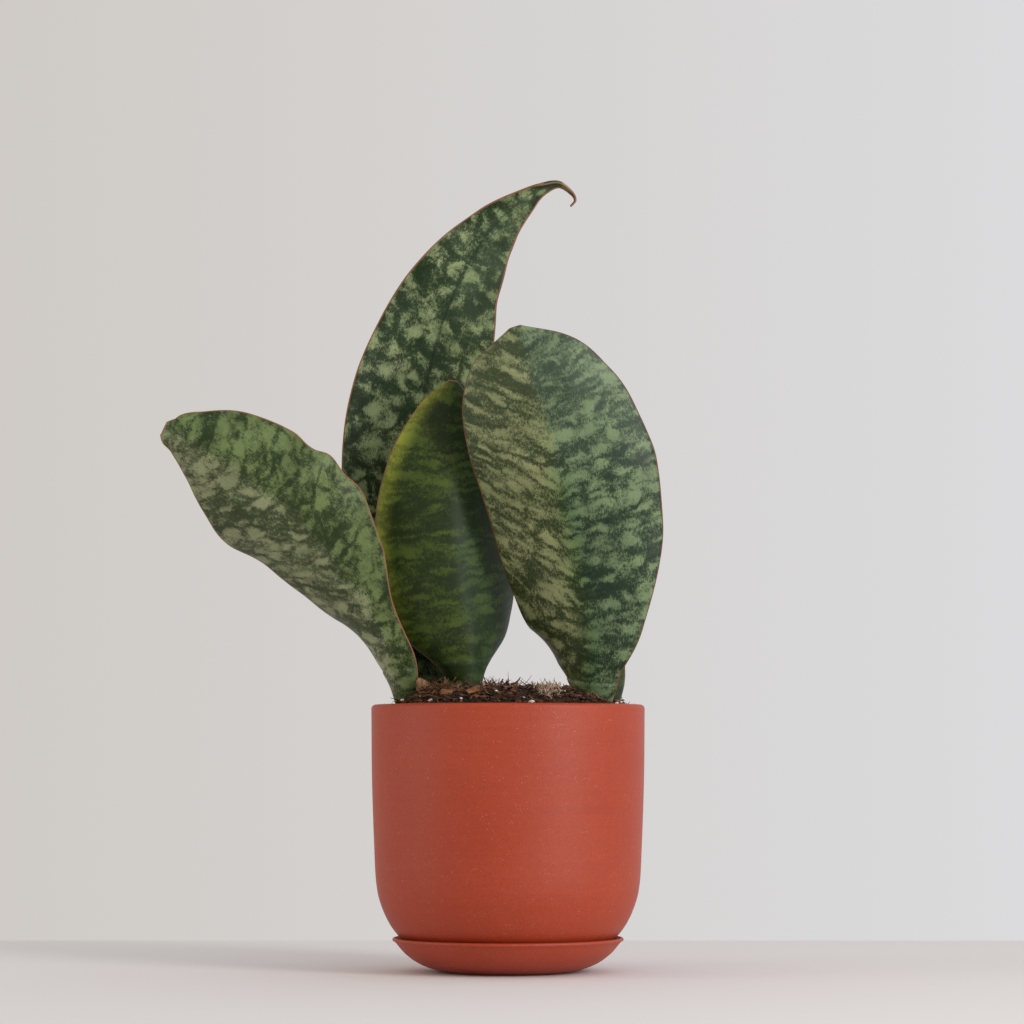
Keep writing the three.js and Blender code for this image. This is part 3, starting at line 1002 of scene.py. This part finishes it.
def plant_leaves() -> list[Leaf]:
    """List every leaf and dry scale with its own finish.

    Returns:
        The leaves, which are not built yet.
    """
    papery = EarthFinish("dry_papery_scale", (0.09, 0.04, 0.02), (0.42, 0.24, 0.12), 330, (1, 1, 0.1), 0.75)
    scale = {"finish": papery, "slot": "dry_sheath", "thickness": 0.6, "margin_thickness": 0.5,
             "unevenness": 2.0, "across_steps": 14, "along_steps": 36}
    # The dark and pale pairs paint light and shade onto the halves; crease and channel are painted shade,
    # and the sheen pairs a painted sheen.
    return [
        Leaf("tall_back_leaf", "tall_back_leaf_blade", TALL_STATIONS,
             LeafFinish("tall_leaf", dark=((0.008, 0.025, 0.004), (0.007, 0.024, 0.003)),
                        pale=((0.27, 0.33, 0.15), (0.29, 0.35, 0.165)), patch=(0.0072, 0.0072),
                        chevron=(0.1, -0.1), cover=0.46, cloud=0.1, crease=0.8, painted_sheen_amount=(0.08, 0.0),
                        roughness=0.48, seed=0.11),
             bumps=(Bump(Side.RIGHT, 0.50, 0.05, 1.0, 2.0), Bump(Side.RIGHT, 0.56, 0.04, -1.4, -2.0),
                    Bump(Side.RIGHT, 0.43, 0.05, -1.2, -1.5), Bump(Side.LEFT, 0.515, 0.035, 3.0, 1.5),
                    Bump(Side.LEFT, 0.425, 0.05, -2.8, -1.5))),
        Leaf("left_leaf", "left_leaf_blade", LEFT_STATIONS,
             LeafFinish("left_leaf", dark=((0.034, 0.048, 0.017), (0.015, 0.030, 0.006)),
                        pale=((0.27, 0.295, 0.155), (0.15, 0.2, 0.07)), patch=(0.0066, 0.0054),
                        chevron=(-0.45, -0.3), cover=0.54, cloud=0.3, seed=0.37),
             bumps=(Bump(Side.LEFT, 0.69, 0.045, 1.4, 2.0), Bump(Side.LEFT, 0.61, 0.04, -2.8, -2.0),
                    Bump(Side.LEFT, 0.50, 0.05, 1.6, 2.5), Bump(Side.LEFT, 0.44, 0.05, -1.0, -1.5),
                    Bump(Side.LEFT, 0.28, 0.06, 1.8, 1.0), Bump(Side.RIGHT, 0.70, 0.07, 0.9, 1.5),
                    Bump(Side.RIGHT, 0.565, 0.03, -2.6, -2.0), Bump(Side.RIGHT, 0.53, 0.027, 2.6, 1.5),
                    Bump(Side.RIGHT, 0.475, 0.03, 2.0, 1.0), Bump(Side.RIGHT, 0.43, 0.04, -2.4, -1.5))),
        Leaf("middle_leaf", "middle_leaf_blade", MIDDLE_STATIONS,
             LeafFinish("middle_leaf", dark=((0.012, 0.024, 0.003), (0.011, 0.026, 0.005)),
                        pale=((0.085, 0.125, 0.018), (0.065, 0.105, 0.025)), patch=(0.014, 0.0045),
                        chevron=(-0.05, -0.05), cover=0.48, cloud=0.4, contrast=0.7, glow_amount=1.0,
                        roughness=0.5, seed=0.53),
             bumps=(Bump(Side.RIGHT, 0.38, 0.05, 1.5, 1.5), Bump(Side.RIGHT, 0.47, 0.05, -1.2, -1.5),
                    Bump(Side.LEFT, 0.62, 0.06, 0.8, 1.0), Bump(Side.LEFT, 0.72, 0.06, -0.8, -1.0))),
        Leaf("right_leaf", "right_leaf_blade", RIGHT_STATIONS,
             LeafFinish("right_leaf", patch=(0.0082, 0.0048), cover=0.525, channel=0.75, painted_sheen_amount=(0.05, 0.12),
                        painted_sheen_start=0.15, margin=(0.17, 0.07, 0.036), seed=0.79),
             bumps=(Bump(Side.RIGHT, 0.74, 0.05, 1.0, 1.5), Bump(Side.RIGHT, 0.67, 0.04, -0.9, -1.0),
                    Bump(Side.RIGHT, 0.60, 0.04, 1.2, 1.0), Bump(Side.RIGHT, 0.53, 0.04, -0.7, -1.0),
                    Bump(Side.RIGHT, 0.47, 0.04, 0.9, 1.0), Bump(Side.LEFT, 0.42, 0.05, 0.8, 1.0),
                    Bump(Side.LEFT, 0.52, 0.06, -0.8, -1.0))),
        Leaf("young_leaf", "young_leaf_blade", YOUNG_STATIONS,
             LeafFinish("young_leaf", dark=((0.014, 0.024, 0.008), (0.014, 0.024, 0.008)),
                        pale=((0.07, 0.10, 0.03), (0.07, 0.10, 0.03)), patch=(0.006, 0.005), contrast=0.7,
                        seed=0.91, margin=(0.2, 0.2, 0.05)),
             thickness=2.0, across_steps=24, along_steps=70),
        Leaf("left_dry_sheath", "left_dry_scale", LEFT_SHEATH, **scale),
        Leaf("back_dry_sheath", "back_dry_scale", BACK_SHEATH, **scale),
        Leaf("right_dry_sheath", "right_dry_scale", RIGHT_SHEATH, **scale),
    ]


# ------------------------------------------------------------------ potting mix


@dataclass
class SoilBed:
    """The mounded potting mix and everything loose that lies on it."""

    seed: int = 7
    crumbs: int = 1500
    flakes: int = 260
    shreds: int = 900
    fibres: int = 260
    grains: int = 45
    edge_height: float = 153 * MM
    crown: float = 16.5 * MM
    crown_radius: float = 76 * MM
    steepness: int = 5
    dip_place: tuple[float, float] = (46 * MM, -8 * MM)
    dip_depth: float = 5 * MM
    dip_spread: float = 0.00025
    wave: float = 0.8 * MM
    lump: float = 1.1 * MM
    clearance: float = 1.5 * MM
    tilts: tuple[float, ...] = (0.1, 0.1, 0.25, 0.42)
    stalks: tuple[tuple[float, float, float], ...] = (
        (-0.059, -0.003, 0.0125), (-0.044, 0.021, 0.0125), (-0.026, 0.005, 0.0125),
        (0.052, -0.012, 0.0135), (0.061, 0.012, 0.009),
    )
    radius: float = field(init=False)
    bottom: float = field(init=False)
    dice: random.Random = field(init=False)

    # The side as shares of the bed's radius and heights in metres above its foot.
    SIDE: ClassVar[tuple] = ((0, 0), (0.5, 0), (0.69, 0.008), (0.81, 0.018), (0.91, 0.033), (0.96, 0.052))
    TOP_RINGS: ClassVar[int] = 90
    STRIP_STEPS: ClassVar[int] = 6

    def __post_init__(self) -> None:
        """Take the bed's size from the frame."""
        low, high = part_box("soil")
        self.radius, self.bottom = high[0], low[2]
        self.dice = random.Random(self.seed)

    def height(self, x: float, y: float) -> float:
        """Find the mound's height.

        Args:
            x: The place to the right in metres.
            y: The place to the back in metres.

        Returns:
            The height in metres.
        """
        out = min(math.hypot(x, y) / self.crown_radius, 1)
        dome = self.edge_height + self.crown * (1 - out**self.steepness)
        dip_x, dip_y = self.dip_place
        dip = self.dip_depth * math.exp(-((x - dip_x) ** 2 + (y - dip_y) ** 2) / self.dip_spread)
        waves = self.wave * math.sin(x / 0.007) * math.cos(y / 0.006 + 1)
        lumps = self.lump * noise.fractal(Vector((x, y, 0.3)) * 260, 0.6, 2.1, 4)
        return dome - dip + waves + lumps

    def mound(self) -> bpy.types.Object:
        """Make the body of soil, with a crumbly top.

        Returns:
            The new object.
        """
        side = [(self.radius * r, self.bottom + h) for r, h in self.SIDE]
        side.append((self.radius - 1.2 * MM, self.bottom + 0.1))
        rings = self.TOP_RINGS
        top = [(self.radius * (1 - i / rings), self.edge_height) for i in range(rings + 1)]
        mesh = spin_profile([*side, *top], 200)
        for vertex in mesh.verts:
            if vertex.co.z > self.edge_height - 0.01 * MM:
                vertex.co.z = self.height(vertex.co.x, vertex.co.y)
        finish = EarthFinish("potting_mix", (0.007, 0.004, 0.003), (0.06, 0.03, 0.016), 500, relief=0.0008)
        return place_piece("soil_mound", mesh, finish.material(), ["soil"])

    def spot(self) -> tuple[float, float]:
        """Pick a place on the soil that is clear of the stalks and the pot's wall.

        Returns:
            The place in metres.
        """
        while True:
            angle = self.dice.uniform(0, math.tau)
            out = (self.radius - 2 * self.clearance) * math.sqrt(self.dice.random())
            x, y = out * math.cos(angle), out * math.sin(angle)
            if all(math.hypot(x - a, y - b) > r + self.clearance for a, b, r in self.stalks):
                return x, y

    def scatter(self, name: str, count: int, finish: EarthFinish,
                shape: Callable[[bmesh.types.BMesh, Matrix], None], sink: float, smooth: bool) -> None:
        """Scatter a small shape over the soil and join it into one piece.

        Args:
            name: The piece's name.
            count: How many to scatter.
            finish: Their finish.
            shape: Adds one shape to the mesh, placed by a matrix.
            sink: How far above the soil each one's middle lies, in metres.
            smooth: Whether faces are shaded smooth.
        """
        mesh = bmesh.new()
        for _ in range(count):
            x, y = self.spot()
            rise = self.dice.choice(self.tilts) * self.dice.uniform(-1, 1)
            turn = Euler((self.dice.uniform(-0.6, 0.6), rise, self.dice.uniform(0, math.tau)))
            lift = Matrix.Translation((x, y, self.height(x, y) + sink))
            shape(mesh, lift @ turn.to_matrix().to_4x4())
        bmesh.ops.recalc_face_normals(mesh, faces=mesh.faces)
        place_piece(name, mesh, finish.material(), smooth=smooth)

    def crumb(self, mesh: bmesh.types.BMesh, place: Matrix) -> None:
        """Add a rough crumb.

        Args:
            mesh: The mesh to add to.
            place: Where it lies and how it is turned.
        """
        size = self.dice.uniform(0.0006, 0.0017)
        long, low = self.dice.uniform(0.8, 1.7), self.dice.uniform(0.6, 1)
        scale = Matrix.Diagonal((size * long, size, size * low, 1))
        for vertex in bmesh.ops.create_icosphere(mesh, subdivisions=1, radius=1)["verts"]:
            vertex.co *= self.dice.uniform(0.7, 1.2)
            vertex.co = place @ scale @ vertex.co

    def flake(self, mesh: bmesh.types.BMesh, place: Matrix) -> None:
        """Add a thin angular flake of bark.

        Args:
            mesh: The mesh to add to.
            place: Where it lies and how it is turned.
        """
        length, width = self.dice.uniform(0.0018, 0.0055), self.dice.uniform(0.001, 0.0026)
        scale = Matrix.Diagonal((length, width, self.dice.uniform(0.0004, 0.0011), 1))
        for vertex in bmesh.ops.create_cube(mesh, size=1)["verts"]:
            shift = Vector([self.dice.uniform(-0.22, 0.22) for _ in range(3)])
            vertex.co = place @ scale @ (vertex.co + shift)

    def strip(self, mesh: bmesh.types.BMesh, place: Matrix, length: float, width: float, flat: float,
              curl: float) -> None:
        """Add a curved strip that tapers to its end, a square rod whose rings follow a bending line.

        Args:
            mesh: The mesh to add to.
            place: Where it lies, with its length along X.
            length: Its length in metres.
            width: Half its width at the start.
            flat: Its thickness as a share of its width.
            curl: How much it may bend and twist.
        """
        bend, twist = self.dice.uniform(-1.6, 1.6) * curl, self.dice.uniform(-1.2, 1.2) * curl
        steps = self.STRIP_STEPS
        ends = bmesh.ops.create_cone(mesh, cap_ends=True, segments=4, radius1=1, radius2=1, depth=steps,
                                     matrix=Matrix.Translation((0, 0, steps / 2)))["verts"]
        sides = [edge for vertex in ends for edge in vertex.link_edges
                 if edge.other_vert(vertex).co.z > vertex.co.z + 1]
        split = bmesh.ops.subdivide_edges(mesh, edges=sides, cuts=steps - 1)["geom_split"]
        rings: list[set[bmesh.types.BMVert]] = [set() for _ in range(steps + 1)]
        for edge in (item for item in split if isinstance(item, bmesh.types.BMEdge)):
            for vertex in edge.verts:
                rings[round(vertex.co.z)].add(vertex)
        point, heading = Vector((-length / 2, 0, 0)), Vector((1, 0, 0))
        for i, ring in enumerate(rings):
            size = width * (1 - 0.65 * (i / steps) ** 2) * self.dice.uniform(0.8, 1.15)
            side = heading.cross(Vector((0, 0, 1))).normalized()
            rise = side.cross(heading) * flat
            for vertex in ring:
                vertex.co = place @ (point + (side * vertex.co.x + rise * vertex.co.y) * size)
            heading = (heading + Vector((0, bend / steps, twist / steps))).normalized()
            point = point + heading * length / steps

    def shred(self, mesh: bmesh.types.BMesh, place: Matrix) -> None:
        """Add a flat torn strip of coir or bark."""
        length, width = self.dice.uniform(0.004, 0.012), self.dice.uniform(0.0003, 0.001)
        self.strip(mesh, place, length, width, 0.3, 0.9)

    def fibre(self, mesh: bmesh.types.BMesh, place: Matrix) -> None:
        """Add a thin coir fibre."""
        length, width = self.dice.uniform(0.004, 0.012), self.dice.uniform(0.0001, 0.0002)
        self.strip(mesh, place, length, width, 1.0, 1.0)

    def heap(self, name: str, finish: EarthFinish, middle: tuple[float, float], spread: float,
             count: int, longest: float, steepest: float) -> None:
        """Heap loose curled scraps on one spot.

        Args:
            name: The piece's name.
            finish: Their finish.
            middle: The middle of the heap.
            spread: How far the scraps lie from it, in metres.
            count: How many there are.
            longest: The longest scrap in metres.
            steepest: The steepest angle at which one stands up, in radians.
        """
        mesh = bmesh.new()
        for _ in range(count):
            x = middle[0] + self.dice.gauss(0, spread)
            y = middle[1] + self.dice.gauss(0, spread)
            roll, rise = self.dice.uniform(-0.8, 0.8), self.dice.uniform(-0.2, 1) * steepest
            turn = Euler((roll, -rise, self.dice.uniform(0, math.tau))).to_matrix().to_4x4()
            lift = self.height(x, y) + self.dice.uniform(0.0005, 0.0055)
            place = Matrix.Translation((x, y, lift)) @ turn
            length, width = self.dice.uniform(0.45, 1) * longest, self.dice.uniform(0.0003, 0.0009)
            self.strip(mesh, place, length, width, 0.35, 1.6)
        bmesh.ops.recalc_face_normals(mesh, faces=mesh.faces)
        place_piece(name, mesh, finish.material())

    def build(self) -> None:
        """Make the soil and its litter."""
        self.mound()
        crumb = EarthFinish("dark_crumb", (0.006, 0.003, 0.002), (0.075, 0.035, 0.018), 500)
        flake = EarthFinish("bark_flake", (0.014, 0.006, 0.003), (0.27, 0.115, 0.055), 300)
        shred = EarthFinish("coir_shred", (0.010, 0.005, 0.003), (0.29, 0.15, 0.08), 220)
        fibre = EarthFinish("coir_fibre", (0.03, 0.013, 0.007), (0.24, 0.12, 0.06), 300)
        pale = EarthFinish("pale_grain", (0.55, 0.52, 0.48), (0.85, 0.83, 0.8), 800, relief=0.0003)
        self.scatter("soil_crumbs", self.crumbs, crumb, self.crumb, 0.0003, False)
        self.scatter("bark_flakes", self.flakes, flake, self.flake, 0.0007, False)
        self.scatter("coir_shreds", self.shreds, shred, self.shred, 0.0009, False)
        self.scatter("coir_fibres", self.fibres, fibre, self.fibre, 0.0012, True)
        self.scatter("pale_grains", self.grains, pale, self.crumb, 0.0009, True)
        scraps = EarthFinish("pale_scraps", (0.18, 0.11, 0.065), (0.72, 0.57, 0.41), 500, roughness=0.8)
        strips = EarthFinish("orange_strips", (0.03, 0.012, 0.006), (0.30, 0.14, 0.06), 260, roughness=0.85)
        self.heap("pale_scraps", scraps, (0.0238, -0.052), 0.0033, 110, 0.0085, 1.3)
        self.heap("orange_strips_left", strips, (-0.043, -0.031), 0.005, 60, 0.013, 0.35)
        self.heap("orange_strips_back", strips, (-0.012, 0.040), 0.008, 60, 0.013, 0.3)


@dataclass
class BarkChip:
    """A coarse chip of bark, split along its grain, inside the space that its node holds.

    filled is how much of that space the uncut block takes up, and reach how far out it is cut, both as
    shares. slant is how far a cut may lean, and tilt how far the chip may, in radians. grain is the
    number of bumps in a metre.
    """

    node: str
    finish: EarthFinish
    seed: int
    filled: Point = (0.82, 0.78, 0.5)
    cuts: int = 4
    reach: float = 0.36
    slant: float = 0.4
    tilt: float = 0.35
    grain: float = 420
    roughness: float = 0.6 * MM

    def build(self) -> bpy.types.Object:
        """Make the chip.

        Returns:
            The new object.
        """
        dice = random.Random(self.seed)
        noise.seed_set(self.seed)
        low, high = (Vector(corner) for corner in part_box(self.node))
        size = high - low
        mesh = bmesh.new()
        bmesh.ops.create_cube(mesh, size=1)
        bmesh.ops.scale(mesh, vec=size * Vector(self.filled), verts=mesh.verts)
        bmesh.ops.subdivide_edges(mesh, edges=mesh.edges, cuts=3, use_grid_fill=True)
        for _ in range(self.cuts):
            angle, slant = dice.uniform(0, math.tau), dice.uniform(-self.slant, self.slant)
            normal = Vector((math.cos(angle), math.sin(angle), slant))
            reach = self.reach * (abs(normal.x) * size.x + abs(normal.y) * size.y)
            cut = bmesh.ops.bisect_plane(mesh, geom=mesh.verts[:] + mesh.edges[:] + mesh.faces[:],
                                         plane_co=normal * reach, plane_no=normal, clear_outer=True)
            edges = [e for e in cut["geom_cut"] if isinstance(e, bmesh.types.BMEdge)]
            bmesh.ops.holes_fill(mesh, edges=edges, sides=0)
        for vertex in mesh.verts:
            rough = noise.noise_vector(vertex.co * self.grain + Vector((self.seed, 0, 0)))
            vertex.co += rough * self.roughness
        bmesh.ops.triangulate(mesh, faces=mesh.faces)
        bmesh.ops.recalc_face_normals(mesh, faces=mesh.faces)
        lean, tip = dice.uniform(-self.tilt, self.tilt), dice.uniform(-self.tilt, self.tilt)
        turn = Euler((lean, tip, 0)).to_matrix().to_4x4()
        mesh.transform(Matrix.Translation((low + high) / 2) @ turn)
        return place_piece(f"{self.node}_rough", mesh, self.finish.material(), [self.node],
                           smooth=False)


def dress_hidden_parts(frame: dict) -> None:
    """Give the underground stem and the roots their finish.

    Args:
        frame: The loaded frame.
    """
    fleshy = EarthFinish("fleshy_root", (0.4, 0.27, 0.14), (0.68, 0.53, 0.32), 220, (1, 1, 0.3), 0.7)
    material = fleshy.material()
    for name, node in frame["nodes"].items():
        if name == "rhizome" or name.startswith("root_"):
            node.data.materials.clear()
            node.data.materials.append(material)
            log.info("%s: dressed", name)


# ------------------------------------------------------------------ stage, light and camera


@dataclass(frozen=True)
class Lamp:
    """A soft rectangular light: where it hangs, its width and height in metres and its power in watts."""

    name: str
    place: Point
    size: tuple[float, float]
    power: float
    colour: Colour
    aim: Point = (0, 0, 0.2)

    def build(self) -> None:
        """Hang the light, turned to its aim."""
        light = bpy.data.lights.new(self.name, "AREA")
        light.shape = "RECTANGLE"
        light.size, light.size_y = self.size
        light.energy = self.power
        light.color = self.colour
        lamp = bpy.data.objects.new(self.name, light)
        lamp.location = self.place
        lamp.rotation_euler = (Vector(self.aim) - Vector(self.place)).to_track_quat("-Z", "Y").to_euler()
        bpy.context.scene.collection.objects.link(lamp)


@dataclass
class Studio:
    """The pale table, the soft grey surroundings, a tall window light, a weak fill and the camera.

    Sizes are in metres. wall_turn is how far to each side the surroundings change from the left colour to
    the right one, as a part of the unit sphere, and upward is how far the camera looks up, in degrees.
    """

    wall_left: Colour = (0.610, 0.575, 0.535)
    wall_right: Colour = (0.725, 0.725, 0.745)
    wall_turn: float = 0.2
    table_depth: tuple[float, float] = (-1.3, 0.35)
    table_half_width: float = 0.9
    table_thickness: float = 0.03
    table_edge: float = 0.006
    table_gap: float = 0.0001
    lens: float = 119.5
    sensor: float = 36
    eye: Point = (0.0024, -2.0565, 0.1293)
    upward: float = 4.1
    lamps: tuple[Lamp, ...] = (
        Lamp("window", (1.5, -1.35, 0.75), (0.6, 1.4), 25, (1.0, 0.98, 0.97)),
        Lamp("left_fill", (-1.8, -0.4, 0.5), (0.8, 1.4), 7, (1.0, 0.95, 0.89)),
    )

    def table(self) -> None:
        """Lay the table top, a slab with rounded edges just under the plant."""
        mesh = bmesh.new()
        near, far = self.table_depth
        size = (2 * self.table_half_width, far - near, self.table_thickness)
        middle = (0, (near + far) / 2, -self.table_thickness / 2 - self.table_gap)
        bmesh.ops.create_cube(mesh, size=1)
        bmesh.ops.scale(mesh, vec=size, verts=mesh.verts)
        bmesh.ops.translate(mesh, vec=middle, verts=mesh.verts)
        bmesh.ops.bevel(mesh, geom=mesh.edges[:], offset=self.table_edge, offset_type="OFFSET",
                        affect="EDGES", segments=6, profile=0.5, material=-1)
        data = bpy.data.meshes.new("table_top")
        mesh.to_mesh(data)
        mesh.free()
        data.materials.append(TableFinish().material())
        table = bpy.data.objects.new("table_top", data)
        bpy.context.scene.collection.objects.link(table)

    def surroundings(self) -> None:
        """Fill the surroundings with a soft grey, which cools and brightens towards the window."""
        world = bpy.data.worlds.new("soft_grey_room")
        g = Graph(world)
        sideways, _, _ = g.numbers(Wire(g, g.node("ShaderNodeTexCoord").outputs["Generated"]))
        share = sideways.rise(-self.wall_turn, self.wall_turn, "LINEAR")
        colour = g.blend(share, self.wall_left, self.wall_right)
        g.close(g.node("ShaderNodeBackground", {}, {"Color": colour}), "ShaderNodeOutputWorld")
        bpy.context.scene.world = world

    def camera(self) -> None:
        """Place the camera level with the pot, looking a little upwards."""
        data = bpy.data.cameras.new("camera")
        data.lens = self.lens
        data.sensor_width = self.sensor
        data.clip_end = 50
        camera = bpy.data.objects.new("camera", data)
        camera.location = self.eye
        camera.rotation_euler = (math.radians(90 + self.upward), 0, 0)
        bpy.context.scene.collection.objects.link(camera)
        bpy.context.scene.camera = camera

    def build(self) -> None:
        """Set up the whole studio."""
        self.camera()
        self.table()
        self.surroundings()
        for lamp in self.lamps:
            lamp.build()
        bpy.context.scene.view_settings.view_transform = "Standard"
        bpy.context.scene.view_settings.look = "None"


def main() -> None:
    """Build the plant around the frame."""
    logging.basicConfig(level=logging.INFO, format="%(name)s: %(message)s")
    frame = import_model()
    Studio().build()
    Pot(ClayFinish("red_clay")).build()
    Saucer(ClayFinish("red_clay_saucer", body=(0.38, 0.046, 0.014), dusty=(0.42, 0.062, 0.025))).build()
    for leaf in plant_leaves():
        leaf.build()
    SoilBed().build()
    bark = EarthFinish("orange_bark", (0.11, 0.04, 0.018), (0.42, 0.19, 0.09), 500, (0.25, 1, 1),
                       relief=0.0006)
    for number in range(1, BARK_CHIPS + 1):
        BarkChip(f"bark_chip_{number}", bark, number).build()
    dress_hidden_parts(frame)


if __name__ == "__main__":
    main()
